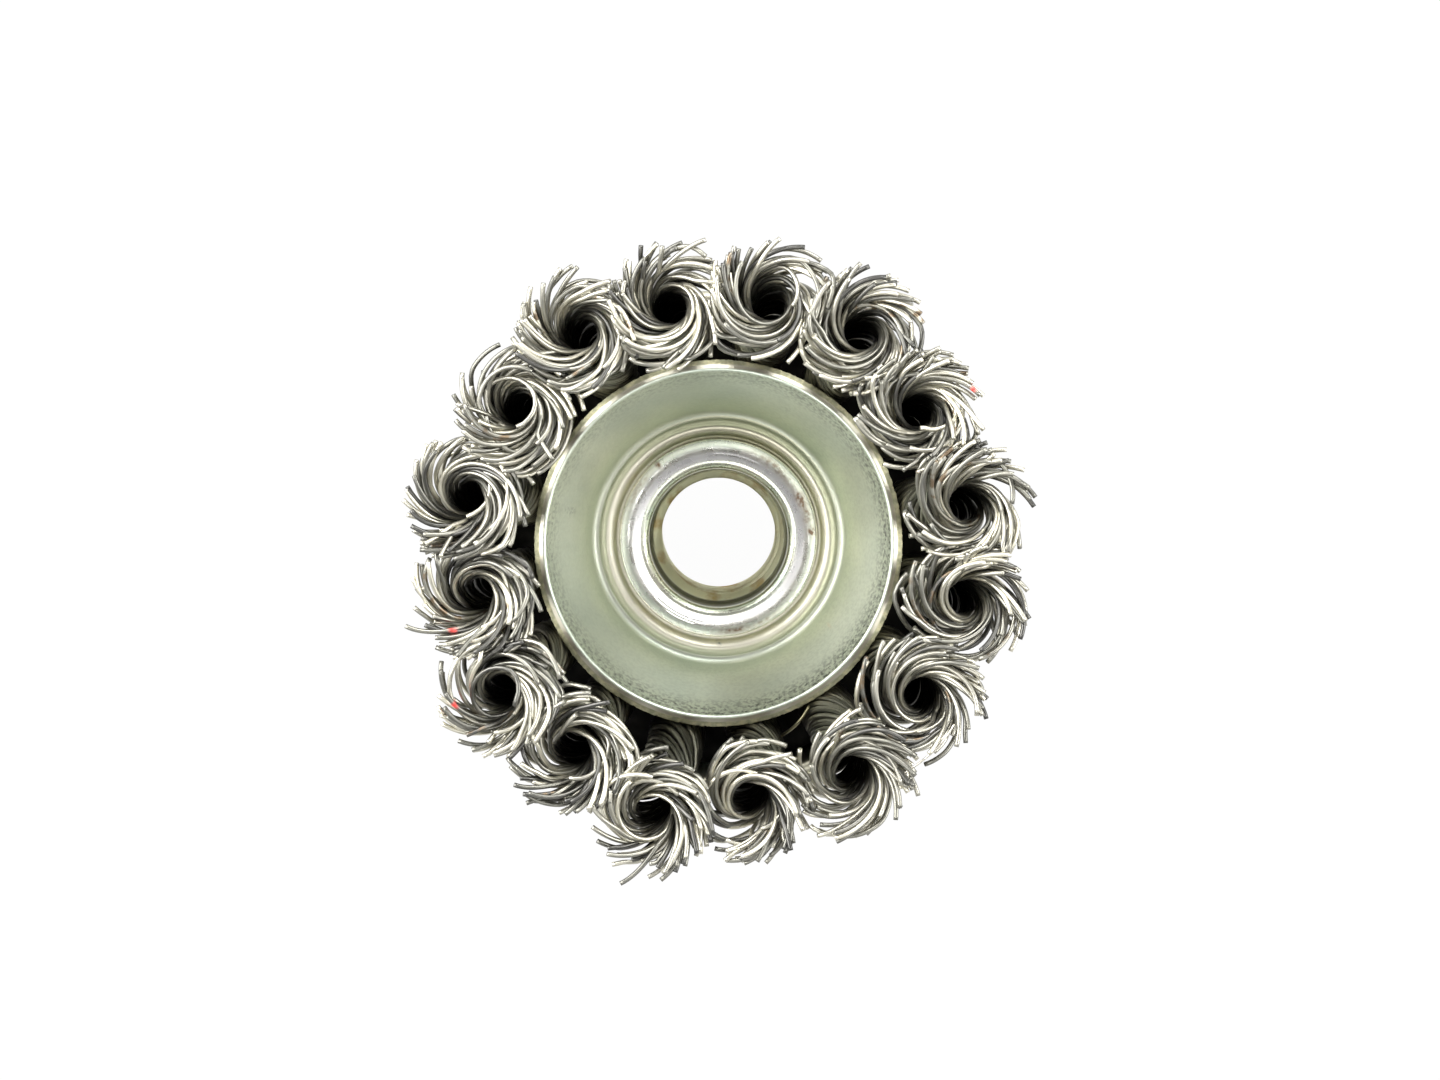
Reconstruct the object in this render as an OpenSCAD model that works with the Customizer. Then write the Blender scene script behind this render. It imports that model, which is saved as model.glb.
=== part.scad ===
// Wire cup brush with twisted knots, for the threaded spindle of a hand grinder.
// It stands on the back of its hub, with the wire tips up. The origin is on the spindle's axis,
// in the hub's back face, and every length is in millimetres.

/* [Hub] */
// Distance across the flats of the spanner hexagon
hex_af = 22; // [20:0.5:26]
// Height of the hexagon that stands out behind the cup
hex_h = 9; // [8:0.5:14]
// Crest diameter of the spindle thread, as the hole is seen from the front
bore_d = 11.9; // [10:0.1:13]
// Depth of the spindle thread, from its crest to its root
thread_depth = 0.95; // [0.6:0.05:1.2]
// Length of the spindle thread, with the chamfer at its inner end
thread_len = 10; // [8:0.5:12]
// Distance from the thread's root to the wall of the smooth bore above it
relief_gap = 0.3; // [0.1:0.05:0.6]
// Wall of the spigot that the pressed sheets are threaded on
spigot_wall = 1.8; // [1.2:0.1:2.4]
// Distance that the collar swaged from the spigot's end reaches over the dish
collar_overhang = 1.3; // [0.8:0.1:2]
// Height of the swaged collar above the floor of the dish
collar_h = 1.9; // [1.4:0.1:3]

/* [Cup shell] */
// Thickness of the cup's drawn sheet
cup_sheet = 1.5; // [1:0.1:2]
// Height of the skirt's edge above the cup's outer floor
cup_depth = 11; // [9:0.5:14]
// Radius of the bend between the cup's floor and its skirt, inside
cup_bend_r = 3; // [2:0.25:4]
// Angle by which the skirt opens from upright
skirt_angle = 8; // [3:0.5:12]

/* [Knot plate] */
// Thickness of the plate that holds the knots
plate_sheet = 1.5; // [1:0.1:2]
// Height by which the plate's outer ring stands above its seat, to leave room for the wire loops
plate_lift = 3; // [2.5:0.1:4]
// Distance from the start of the dish's bend out to the circle that the knots are rooted on
root_offset = 7.2; // [6.8:0.1:9]
// Diameter of the bundle of wires where it passes through the plate
root_d = 4.4; // [3.6:0.1:5]

/* [Inner dish] */
// Thickness of the dish's pressed sheet
dish_sheet = 1.2; // [0.8:0.1:1.6]
// Height of the dish's rim above its seat on the plate
dish_depth = 11; // [8:0.5:13]
// Width of the flat floor between the bead and the bend up into the dish's wall
floor_margin = 0.2; // [0.1:0.1:1.5]
// Radius of the bend between the dish's floor and its wall, inside
dish_bend_r = 2.4; // [1.5:0.1:3.5]
// Width of the groove between the collar and the raised bead round it
bead_gap = 0.4; // [0.2:0.1:1]
// Width of the raised bead
bead_w = 1.7; // [1:0.1:2.2]
// Height of the raised bead above the dish's floor
bead_h = 0.9; // [0.4:0.1:1.4]

/* [Knots] */
// Diameter of a knot's twisted stem
stem_d = 5.8; // [5:0.1:6.6]
// Diameter of the hollow down the middle of a knot
hollow_d = 3.4; // [2.4:0.1:3.8]
// Diameter over the flared wire tips of one knot, where its neighbours leave it room
flare_d = 12.2; // [9:0.2:14]
// Length of the wires that stand free above the skirt's edge
trim = 22; // [18:0.5:28]
// Height of a knot's flare, from the end of its stem to the wire tips
flare_len = 6; // [4:0.5:9]
// Angle by which the knots lean out from upright
lean = 14.9; // [8:0.1:18]
// Angle between the wires and the axis of the stem
lay_angle = 36; // [20:1:45]
// Angle by which the wires sweep round in the flare
flare_sweep = 105; // [40:5:150]
// Number of ridges that stand for the outer wires of a knot
strands = 10; // [6:1:12]
// Depth of the groove between two ridges
strand_relief = 0.4; // [0.1:0.05:0.6]
// Thickness of the flare at its edge
tip_wall = 2; // [1:0.1:3]
// Share of the knots' lean by which each flare tips outward
flare_tipping = 0.5; // [0:0.05:1]

/* [Fits] */
// Clearance between the spigot and each sheet's hole, in radius
spigot_gap = 0.05; // [0.02:0.01:0.2]
// Clearance between a knot's root and its hole, in radius
root_gap = 0.1; // [0.05:0.05:0.3]
// Clearance above and below the plate, between it and a knot's shoulders
shoulder_gap = 0.1; // [0.05:0.05:0.3]
// Clearance between the plate's edge and the skirt
plate_gap = 0.15; // [0.05:0.05:0.4]
// Clearance between the stems and the edge of the skirt
skirt_gap = 0.4; // [0.2:0.1:1]
// Clearance between the stems and the rim of the dish
dish_gap = 0.1; // [0.1:0.1:0.8]
// Clearance between the flares of two knots
flare_gap = 0.2; // [0.1:0.05:0.5]

/* [Hidden] */
$fn = 96;

steel = [0.62, 0.61, 0.58];
plated = [0.66, 0.69, 0.6];
burnished = [0.78, 0.77, 0.75];

// Knots in the ring, and the angle of the first one from the X axis
knot_count = 16;
knot_turn = 10.3;
// How far each flare is bent outward of its regular place, counterclockwise from the first knot
bent_out = [0, -0.9, 0.9, 0.2, -0.2, 0.7, -0.7, 0.3, -0.9, 0.5, -0.8, 1.4, -0.5, 0.5, -0.4, -0.2];
// How far each flare is bent counterclockwise of its regular place
bent_round = [0.4, 1.2, 0.9, 0.4, 0.5, -0.2, -0.4, 0, -0.1, 0.1, -0.6, -0.9, -1.2, -0.6, -0.1, 0.8];

// Heights of the stack, from the back of the hub up
cup_z = hex_h;
plate_z = cup_z + cup_sheet;
ring_top_z = plate_z + plate_lift + plate_sheet;
dish_z = plate_z + plate_sheet;
collar_z = dish_z + dish_sheet;
rim_z = dish_z + dish_depth;
skirt_z = cup_z + cup_depth;
tip_z = skirt_z + trim;
flare_z = tip_z - flare_len;

// Radii that several pieces share, from the thread outward
thread_root_r = bore_d / 2 + thread_depth;
relief_r = thread_root_r + relief_gap;
spigot_r = relief_r + spigot_wall;
hole_r = spigot_r + spigot_gap;
collar_r = spigot_r + collar_overhang;
bead_r = collar_r + bead_gap + bead_w / 2;
dish_floor_r = bead_r + bead_w / 2 + floor_margin;
root_circle_r = dish_floor_r + root_offset;
stem_r = stem_d / 2;
hollow_r = hollow_d / 2;

// Distance from the axis of the brush to the middle of a stem at height z
function stem_axis_r(z) = root_circle_r + tan(lean) * max(0, z - ring_top_z);

// Points of an arc round the centre c, with its angles from the first to the last
arc_steps = 8;
function arc_points(c, r, first, last) =
    [for (k = [0:arc_steps])
        let (a = first + (last - first) * k / arc_steps)
        c + r * [cos(a), sin(a)]];

// Outline of a bent sheet: its middle line, offset by half its thickness to each side.
// At a corner the offset is mitred, so that both flat stretches keep the full thickness.
function across(p, q) = let (d = (q - p) / norm(q - p)) [-d[1], d[0]];
function mitre(path, k) =
    let (a = across(path[max(k - 1, 0)], path[max(k - 1, 0) + 1]))
    let (b = across(path[min(k, len(path) - 2)], path[min(k, len(path) - 2) + 1]))
    (a + b) / (1 + a * b);
function sheet_outline(path, thickness) =
    let (last = len(path) - 1)
    concat(
        [for (k = [0:last]) path[k] - mitre(path, k) * thickness / 2],
        [for (k = [last:-1:0]) path[k] + mitre(path, k) * thickness / 2]);

module pressed_sheet(path, thickness) {
    rotate_extrude() polygon(sheet_outline(path, thickness));
}

// The skirt's middle line is set so that its edge clears the stems
skirt_mid_r = stem_axis_r(skirt_z) + stem_r + skirt_gap + cup_sheet / 2 / cos(skirt_angle);
function skirt_r(z) = skirt_mid_r - (skirt_z - z) * tan(skirt_angle);
cup_floor_z = cup_z + cup_sheet / 2;
cup_bend_mid = cup_bend_r + cup_sheet / 2;
cup_bend_z = cup_floor_z + cup_bend_mid;
cup_bend_c = [skirt_r(cup_bend_z) - cup_bend_mid / cos(skirt_angle), cup_bend_z];

// The dish's wall is the line from the rim that touches the bend's circle
dish_floor_z = dish_z + dish_sheet / 2;
dish_bend_mid = dish_bend_r + dish_sheet / 2;
dish_bend_c = [dish_floor_r, dish_floor_z + dish_bend_mid];
dish_rim_r = stem_axis_r(rim_z) - stem_r - dish_gap - dish_sheet / 2;
to_rim = [dish_rim_r, rim_z] - dish_bend_c;
dish_touch = atan2(to_rim[1], to_rim[0]) - acos(dish_bend_mid / norm(to_rim));
dish_wall_angle = dish_touch + 90;

// The plate steps up just outside the dish's wall, as far out as the wall is at the step's top
step_gap = 0.3;
step_rise_angle = 65;
step_top_r = dish_rim_r + dish_sheet / 2 / sin(dish_wall_angle)
    - (rim_z - ring_top_z) / tan(dish_wall_angle)
    + plate_sheet / 2 * tan(step_rise_angle / 2) + step_gap;
step_foot_r = step_top_r - plate_lift / tan(step_rise_angle);
plate_r = skirt_r(ring_top_z - plate_sheet) - cup_sheet / 2 / cos(skirt_angle) - plate_gap;

// Hub: hexagon, spigot and collar are one turned piece, with the bore through it
back_chamfer = 1.2;
chamfer_slope = 30;
collar_edge_r = 0.45;
collar_lip_r = 0.9;
// Share of the collar's height by which its crowned top falls from the lip to the edge
crown_share = 0.35;

module hexagon_blank() {
    corner_r = hex_af / 2 / cos(30);
    face_r = corner_r - back_chamfer;
    intersection() {
        cylinder(r = corner_r, h = hex_h, $fn = 6);
        union() {
            cylinder(r1 = face_r, r2 = corner_r, h = back_chamfer * tan(chamfer_slope));
            translate([0, 0, back_chamfer * tan(chamfer_slope)])
                cylinder(r = corner_r, h = hex_h);
        }
    }
}

module spigot_and_collar() {
    top_z = collar_z + collar_h;
    fall = collar_h * crown_share;
    edge_c = [collar_r - collar_edge_r, collar_z + collar_edge_r];
    brow_c = [edge_c[0], top_z - fall - collar_edge_r];
    lip_c = [relief_r + collar_lip_r, top_z - collar_lip_r];
    crown = [for (u = [0.75, 0.5, 0.25])
        [lip_c[0] + (brow_c[0] - lip_c[0]) * u, top_z - fall * u * u]];
    rotate_extrude()
        polygon(concat(
            [[relief_r, hex_h - 1], [spigot_r, hex_h - 1], [spigot_r, collar_z]],
            arc_points(edge_c, collar_edge_r, -90, 0),
            arc_points(brow_c, collar_edge_r, 0, 70),
            crown,
            arc_points(lip_c, collar_lip_r, 90, 180)));
}

module threaded_hub() {
    color(burnished)
        difference() {
            union() {
                hexagon_blank();
                spigot_and_collar();
                cylinder(r = spigot_r, h = thread_len);
            }
            translate([0, 0, -1])
                cylinder(d = bore_d, h = thread_len + 2);
            translate([0, 0, thread_len - thread_depth])
                cylinder(r1 = bore_d / 2, r2 = thread_root_r, h = thread_depth);
            translate([0, 0, thread_len])
                cylinder(r = relief_r, h = collar_z);
        }
}

module cup_shell() {
    color(plated)
        pressed_sheet(
            concat(
                [[hole_r, cup_floor_z]],
                arc_points(cup_bend_c, cup_bend_mid, -90, -skirt_angle),
                [[skirt_mid_r, skirt_z]]),
            cup_sheet);
}

// Place at the middle of each knot's root, for what is drilled or rooted there
module at_root(i) {
    rotate([0, 0, knot_turn + 360 * i / knot_count])
        translate([root_circle_r, 0, 0])
            children();
}

module knot_plate() {
    seat_z = plate_z + plate_sheet / 2;
    color(steel)
        difference() {
            pressed_sheet(
                [[hole_r, seat_z], [step_foot_r, seat_z],
                 [step_top_r, seat_z + plate_lift], [plate_r, seat_z + plate_lift]],
                plate_sheet);
            for (i = [0:knot_count - 1])
                at_root(i)
                    translate([0, 0, plate_z])
                        cylinder(r = root_d / 2 + root_gap, h = plate_lift + 2 * plate_sheet, $fn = 32);
        }
}

module inner_dish() {
    bead_half = bead_w / 2;
    bead_round = (bead_half * bead_half + bead_h * bead_h) / (2 * bead_h);
    color(plated) {
        pressed_sheet(
            concat(
                [[hole_r, dish_floor_z]],
                arc_points(dish_bend_c, dish_bend_mid, -90, dish_touch),
                [[dish_rim_r, rim_z]]),
            dish_sheet);
        // The bead is the part of a round wire's section that stands above the floor
        rotate_extrude()
            intersection() {
                translate([bead_r, collar_z + bead_h - bead_round])
                    circle(r = bead_round, $fn = 48);
                translate([bead_r - bead_half, collar_z - dish_sheet / 2])
                    square([bead_w, bead_h + dish_sheet]);
            }
    }
}

// Knots. Each is a bundle of wires that is twisted left-handed round a hollow middle, and whose
// free ends fan out into a rose. It is built as rings of points, ridge and groove by turns, that
// climb the outside, turn in over the tips and go down the funnel to the floor of the hollow.
ring_points = 2 * strands;
stem_rings = 8;
flare_rings = 4;
funnel_rings = 3;
mouth_z = flare_z + flare_len / 3;
hollow_z = rim_z;
tip_serration = 0.5;
flare_bow = 0.75;

// Share of the flare's height that its wires have climbed at the share u of their way out
function climbed(u) = u * (1 + flare_bow * (1 - u));

// Angle that the wires have turned through at height z, clockwise as seen from the tips
function turned(z) =
    let (stem_part = min(z, flare_z) - ring_top_z)
    let (flare_part = max(0, z - flare_z) / flare_len)
    stem_part * tan(lay_angle) / stem_r * 180 / PI + flare_sweep * flare_part;

// Middle of knot i at height z: it leans out evenly up to the mouth of its hollow, and is bent
// off its regular place above the dish's rim
function knot_centre(i, z) =
    let (n = (i + knot_count) % knot_count)
    let (bend = min(1, max(0, z - rim_z) / (flare_z - rim_z)))
    let (a = knot_turn + 360 * n / knot_count)
    let (out = stem_axis_r(min(z, mouth_z)) + bent_out[n] * bend)
    let (round = bent_round[n] * bend)
    [out * cos(a) - round * sin(a), out * sin(a) + round * cos(a)];

// Room from the middle of knot i to the plane halfway to its neighbour, in the direction a
function room(i, neighbour, z, a) =
    let (v = knot_centre(neighbour, z) - knot_centre(i, z))
    let (facing = cos(a - atan2(v[1], v[0])))
    facing > 0.01 ? (norm(v) - flare_gap) / 2 / facing : flare_d;

// Rings as [height, radius, -1 outside or 1 inside]
function knot_rings() = concat(
    [for (k = [0:stem_rings])
        [ring_top_z + shoulder_gap + (flare_z - ring_top_z - shoulder_gap) * k / stem_rings,
         stem_r, -1]],
    [for (k = [1:flare_rings])
        let (u = k / flare_rings)
        [flare_z + (flare_len - tip_wall) * climbed(u),
         stem_r + (flare_d / 2 - stem_r) * u, -1]],
    [[tip_z, flare_d / 2 - tip_wall / 4, -1]],
    [for (k = [funnel_rings:-1:1])
        let (u = (k - 1) / funnel_rings)
        [flare_z + flare_len * climbed(u),
         hollow_r + (flare_d / 2 - tip_wall / 2 - hollow_r) * u, 1]],
    [[hollow_z, hollow_r, 1]]);

// How far the flare of knot i dips at a point r out from its middle in the direction a: nothing
// on the brush's inner side and most on the outer side, growing from the stem's end to the tips
function dip(i, z, r, a) =
    let (u = min(1, max(0, z - flare_z) / flare_len))
    let (outward = r * cos(a - knot_turn - 360 * i / knot_count) + flare_d / 2)
    flare_tipping * tan(lean) * outward * u * u * (3 - 2 * u);

function knot_point(i, ring, k) =
    let (z = ring[0] - (ring[0] == tip_z ? tip_serration * (k % 2) : 0))
    let (start = knot_turn + 360 * i / knot_count + 360 * k / ring_points)
    let (a = start - turned(ring[2] > 0 ? max(z, flare_z) : z))
    let (grooved = ring[1] + ring[2] * strand_relief * (k % 2))
    let (space = min(room(i, i - 1, z, a), room(i, i + 1, z, a)))
    let (inset = ring[2] > 0 ? tip_wall / 2 : 0)
    let (r = min(grooved, space - inset))
    let (c = knot_centre(i, z))
    [c[0] + r * cos(a), c[1] + r * sin(a), z - dip(i, z, r, a)];

module knot_bundle(i) {
    rings = knot_rings();
    last = len(rings) - 1;
    points = [for (ring = rings) for (k = [0:ring_points - 1]) knot_point(i, ring, k)];
    sides = [for (j = [0:last - 1]) for (k = [0:ring_points - 1])
        let (low = j * ring_points)
        let (high = low + ring_points)
        let (next = (k + 1) % ring_points)
        each [[low + k, high + k, high + next], [low + k, high + next, low + next]]];
    foot = [for (k = [0:ring_points - 1]) k];
    floor = [for (k = [ring_points - 1:-1:0]) last * ring_points + k];
    polyhedron(points, concat([foot], sides, [floor]), convexity = 6);
}

// The root passes down through the plate and ends in the head of looped wires that holds it
module knot_root(i) {
    head_top_z = ring_top_z - plate_sheet - shoulder_gap;
    head_low_z = plate_z + 0.5;
    head_r = root_d / 2 + 0.4;
    head_slope_h = 0.8;
    at_root(i)
        rotate_extrude($fn = 32)
            polygon([
                [0, head_low_z], [head_r - head_slope_h, head_low_z],
                [head_r, head_low_z + head_slope_h], [head_r, head_top_z - head_slope_h],
                [root_d / 2, head_top_z], [root_d / 2, ring_top_z + 1], [0, ring_top_z + 1]]);
}

module knot(i) {
    color(steel)
        union() {
            knot_bundle(i);
            knot_root(i);
        }
}

threaded_hub();
cup_shell();
knot_plate();
inner_dish();
knot(0);  // knot_01
knot(1);  // knot_02
knot(2);  // knot_03
knot(3);  // knot_04
knot(4);  // knot_05
knot(5);  // knot_06
knot(6);  // knot_07
knot(7);  // knot_08
knot(8);  // knot_09
knot(9);  // knot_10
knot(10);  // knot_11
knot(11);  // knot_12
knot(12);  // knot_13
knot(13);  // knot_14
knot(14);  // knot_15
knot(15);  // knot_16
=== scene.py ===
import math

import bpy
import numpy as np
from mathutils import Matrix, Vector


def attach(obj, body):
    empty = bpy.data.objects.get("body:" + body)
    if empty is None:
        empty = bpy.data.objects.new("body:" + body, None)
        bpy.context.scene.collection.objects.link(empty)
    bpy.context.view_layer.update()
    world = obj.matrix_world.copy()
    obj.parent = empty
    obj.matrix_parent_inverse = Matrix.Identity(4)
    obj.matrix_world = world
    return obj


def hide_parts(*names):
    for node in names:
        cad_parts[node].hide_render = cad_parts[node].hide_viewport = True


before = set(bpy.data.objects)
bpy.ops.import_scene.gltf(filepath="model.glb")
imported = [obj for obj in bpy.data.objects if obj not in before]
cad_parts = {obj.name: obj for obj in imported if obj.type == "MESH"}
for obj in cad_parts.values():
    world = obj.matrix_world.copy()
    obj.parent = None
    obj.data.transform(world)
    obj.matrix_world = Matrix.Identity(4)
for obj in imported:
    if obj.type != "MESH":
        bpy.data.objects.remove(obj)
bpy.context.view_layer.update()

# Threaded hub
# The hub is one turned and zinc-plated piece of steel: a hexagon for the spanner, a spigot that
# carries the pressed sheets, and the spigot's end swaged over the dish as the burnished collar.
MM = 0.001
HEX_AF = 22.0
HEX_H = 9.0
BORE_R = 5.95
THREAD_DEPTH = 0.95
THREAD_LEN = 10.0
THREAD_PITCH = 2.0
RELIEF_R = BORE_R + THREAD_DEPTH + 0.3
SPIGOT_R = RELIEF_R + 1.8
COLLAR_R = SPIGOT_R + 1.3
COLLAR_H = 1.9
CUP_SHEET = 1.5
PLATE_SHEET = 1.5
DISH_SHEET = 1.2
CUP_Z = HEX_H
PLATE_Z = CUP_Z + CUP_SHEET
DISH_Z = PLATE_Z + PLATE_SHEET
COLLAR_Z = DISH_Z + DISH_SHEET
COLLAR_TOP_Z = COLLAR_Z + COLLAR_H
LIP_R = 0.9
COLLAR_EDGE_R = 0.45
COLLAR_FALL = 0.8
BAND_FALL = 0.22
TOOL_WAVE = 0.002
HEX_CHAMFER = (1.2, 0.7)
CHAMFER_BACK = 0.5
RELIEF_CORNER = 0.15
SCRATCH_HALF = 0.05
SCRATCH_DEPTH = 0.04
SCRATCH_FADE = 3.0
# Heights between which the bore's grime and the painted shade under the lip fade out
GRIME_ENDS_Z = (12.5, 14.0)
THROAT_ENDS_Z = (13.6, 14.6)
ZINC = (0.66, 0.74, 0.64)
ZINC_CLOUD = (0.78, 0.85, 0.73)
PLATED_LIP = (0.58, 0.64, 0.53)
CREAM = (0.76, 0.73, 0.6)
BURNISHED = (0.86, 0.85, 0.82)
TOOL_MARK = (0.74, 0.73, 0.72)
STAIN_BROWN = (0.3, 0.2, 0.15)
BORE_OLIVE = (0.8, 0.78, 0.55)
BORE_GOLD = (0.55, 0.42, 0.2)
# Painted shade for the recess between thread and lip
THROAT_PAINTED_SHADE = (0.17, 0.17, 0.11)
# Stains on the collar as (angle in degrees, radius, width round, width across, strength)
COLLAR_STAINS = [
    (25.7, 9.4, 0.7, 0.4, 1.3), (3.7, 9.7, 0.4, 0.35, 1.2), (-80.0, 9.7, 1.8, 0.3, 0.9),
    (52.0, 9.5, 3.0, 0.5, 0.6), (129.6, 9.9, 0.2, 0.5, 1.2), (14.0, 9.5, 1.4, 0.5, 0.7),
    (-60.0, 9.8, 1.4, 0.2, 0.5), (150.0, 9.8, 2.4, 0.3, 0.5),
]
# Scratches on the collar as (first angle, last angle, radius), bright steel laid bare
COLLAR_SCRATCHES = [
    (-137.0, -98.0, 8.9), (-128.0, -104.0, 9.15), (91.0, 93.0, 9.1), (60.0, 96.0, 8.75),
]


def smooth(low, high, x):
    """Rises from 0 at low to 1 at high as 3 t squared minus 2 t cubed."""
    t = np.clip((x - low) / (high - low), 0.0, 1.0)
    return t * t * (3.0 - 2.0 * t)


def arc(centre, radius, first, last, count):
    """Points of a circle's arc: centre plus radius times (cosine, sine) of evenly spaced angles."""
    a = np.radians(np.linspace(first, last, count))
    return np.stack([centre[0] + radius * np.cos(a), centre[1] + radius * np.sin(a)], axis=1)


def line(start, end, count):
    """Evenly spaced points of a straight stretch, without its last point."""
    t = np.linspace(0.0, 1.0, count, endpoint=False)[:, None]
    return np.array(start) * (1.0 - t) + np.array(end) * t


def grid_faces(rows, columns, close_rows):
    """Quads between neighbouring rows of a grid whose columns run round a closed ring."""
    last = rows if close_rows else rows - 1
    j, k = np.meshgrid(np.arange(last), np.arange(columns), indexing="ij")
    up = (j + 1) % rows
    across = (k + 1) % columns
    corners = [j * columns + k, j * columns + across, up * columns + across, up * columns + k]
    return np.stack(corners, axis=-1).reshape(-1, 4)


def mesh_piece(name, points, faces, caps=()):
    """A mesh object from points in millimetres, with smooth quads and flat many-sided caps."""
    mesh = bpy.data.meshes.new(name)
    groups = [np.asarray(faces)] + [np.asarray(c) for c in caps]
    loops = np.concatenate([g.ravel() for g in groups])
    sizes = np.concatenate([np.full(len(g), g.shape[1]) for g in groups])
    mesh.vertices.add(len(points))
    mesh.vertices.foreach_set("co", (np.asarray(points) * MM).astype(np.float32).ravel())
    mesh.loops.add(len(loops))
    mesh.loops.foreach_set("vertex_index", loops.astype(np.int32))
    mesh.polygons.add(len(sizes))
    starts = np.concatenate([[0], np.cumsum(sizes)[:-1]])
    mesh.polygons.foreach_set("loop_start", starts.astype(np.int32))
    mesh.polygons.foreach_set("use_smooth", np.arange(len(sizes)) < len(faces))
    mesh.update(calc_edges=True)
    mesh.validate()
    piece = bpy.data.objects.new(name, mesh)
    bpy.context.scene.collection.objects.link(piece)
    return piece


def add_attribute(piece, name, values):
    """Stores one number for each point of the mesh, for the materials to read."""
    layer = piece.data.attributes.new(name, "FLOAT", "POINT")
    layer.data.foreach_set("value", np.asarray(values, dtype=np.float32).ravel())


def patches(a, r, places):
    """Sum of bell curves round places given as (angle in degrees, radius, width round the axis,
    width across, strength), each the exponential of minus the squared distances over widths."""
    total = np.zeros(np.broadcast(a, r).shape)
    for degrees, radius, wide, across, strength in places:
        turn = (a - math.radians(degrees) + np.pi) % (2 * np.pi) - np.pi
        total += strength * np.exp(-((turn * radius / wide) ** 2) - ((r - radius) / across) ** 2)
    return total


def new_material(name, base, roughness, metallic):
    """A material with its principled shader's uniform values set on the shader itself."""
    material = bpy.data.materials.new(name)
    material.use_nodes = True
    shader = material.node_tree.nodes["Principled BSDF"]
    shader.inputs["Base Color"].default_value = (*base, 1.0)
    shader.inputs["Roughness"].default_value = roughness
    shader.inputs["Metallic"].default_value = metallic
    return material, material.node_tree, shader


def add_node(tree, kind, inputs=None, **settings):
    """Adds a node, setting its properties by name and its inputs' values by theirs."""
    node = tree.nodes.new(kind)
    for key, value in settings.items():
        setattr(node, key, value)
    for key, value in (inputs or {}).items():
        node.inputs[key].default_value = value
    return node


def attribute_node(tree, name):
    """The value of a mesh's attribute."""
    return add_node(tree, "ShaderNodeAttribute", attribute_name=name).outputs["Fac"]


def ramp_node(tree, source, stops):
    """A colour ramp fed by a value, with stops of (place, colour)."""
    ramp = tree.nodes.new("ShaderNodeValToRGB")
    elements = ramp.color_ramp.elements
    elements[0].position, elements[0].color = stops[0][0], (*stops[0][1], 1.0)
    elements[1].position, elements[1].color = stops[-1][0], (*stops[-1][1], 1.0)
    for place, colour in stops[1:-1]:
        elements.new(place).color = (*colour, 1.0)
    tree.links.new(source, ramp.inputs["Fac"])
    return ramp.outputs["Color"]


def noise_node(tree, scale, detail=2.0):
    """Noise in the object's own metres, so that it stays put when the object moves."""
    place = tree.nodes.new("ShaderNodeTexCoord")
    noise = add_node(tree, "ShaderNodeTexNoise", inputs={"Scale": scale, "Detail": detail})
    tree.links.new(place.outputs["Object"], noise.inputs["Vector"])
    return noise.outputs["Fac"]


def math_node(tree, operation, a, b=0.0):
    """One sum, product or other operation on two values or sockets."""
    node = add_node(tree, "ShaderNodeMath", operation=operation)
    for socket, value in zip(node.inputs, (a, b)):
        if isinstance(value, float):
            socket.default_value = value
        else:
            tree.links.new(value, socket)
    return node.outputs[0]


def range_node(tree, value, low, high, to_low=0.0, to_high=1.0):
    """Carries a value from one range to another along a straight line, held at its ends."""
    limits = {"From Min": low, "From Max": high, "To Min": to_low, "To Max": to_high}
    node = add_node(tree, "ShaderNodeMapRange", inputs=limits)
    tree.links.new(value, node.inputs["Value"])
    return node.outputs["Result"]


def mix_colours(tree, factor, first, second):
    """Blends two colours or colour sockets by a factor socket."""
    node = add_node(tree, "ShaderNodeMix", data_type="RGBA")
    tree.links.new(factor, node.inputs["Factor"])
    for name, value in (("A", first), ("B", second)):
        socket = [s for s in node.inputs if s.name == name and s.type == "RGBA"][0]
        if isinstance(value, tuple):
            socket.default_value = (*value, 1.0)
        else:
            tree.links.new(value, socket)
    return [s for s in node.outputs if s.type == "RGBA"][0]


def turned_rings(tree, scale):
    """Noise that depends on the distance to the axis alone, like the marks of a turning tool."""
    place = tree.nodes.new("ShaderNodeTexCoord")
    split = tree.nodes.new("ShaderNodeSeparateXYZ")
    tree.links.new(place.outputs["Object"], split.inputs[0])
    x, y = split.outputs["X"], split.outputs["Y"]
    x_squared = math_node(tree, "MULTIPLY", x, x)
    y_squared = math_node(tree, "MULTIPLY", y, y)
    squares = math_node(tree, "ADD", x_squared, y_squared)
    inputs = {"Scale": scale, "Detail": 1.0}
    noise = add_node(tree, "ShaderNodeTexNoise", inputs, noise_dimensions="1D")
    tree.links.new(math_node(tree, "SQRT", squares), noise.inputs["W"])
    return noise.outputs["Fac"]


def add_bump(tree, shader, height, distance, strength=1.0):
    """Bump from a height socket, in metres of depth."""
    bump = add_node(tree, "ShaderNodeBump", inputs={"Strength": strength, "Distance": distance})
    tree.links.new(height, bump.inputs["Height"])
    tree.links.new(bump.outputs["Normal"], shader.inputs["Normal"])


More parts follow.
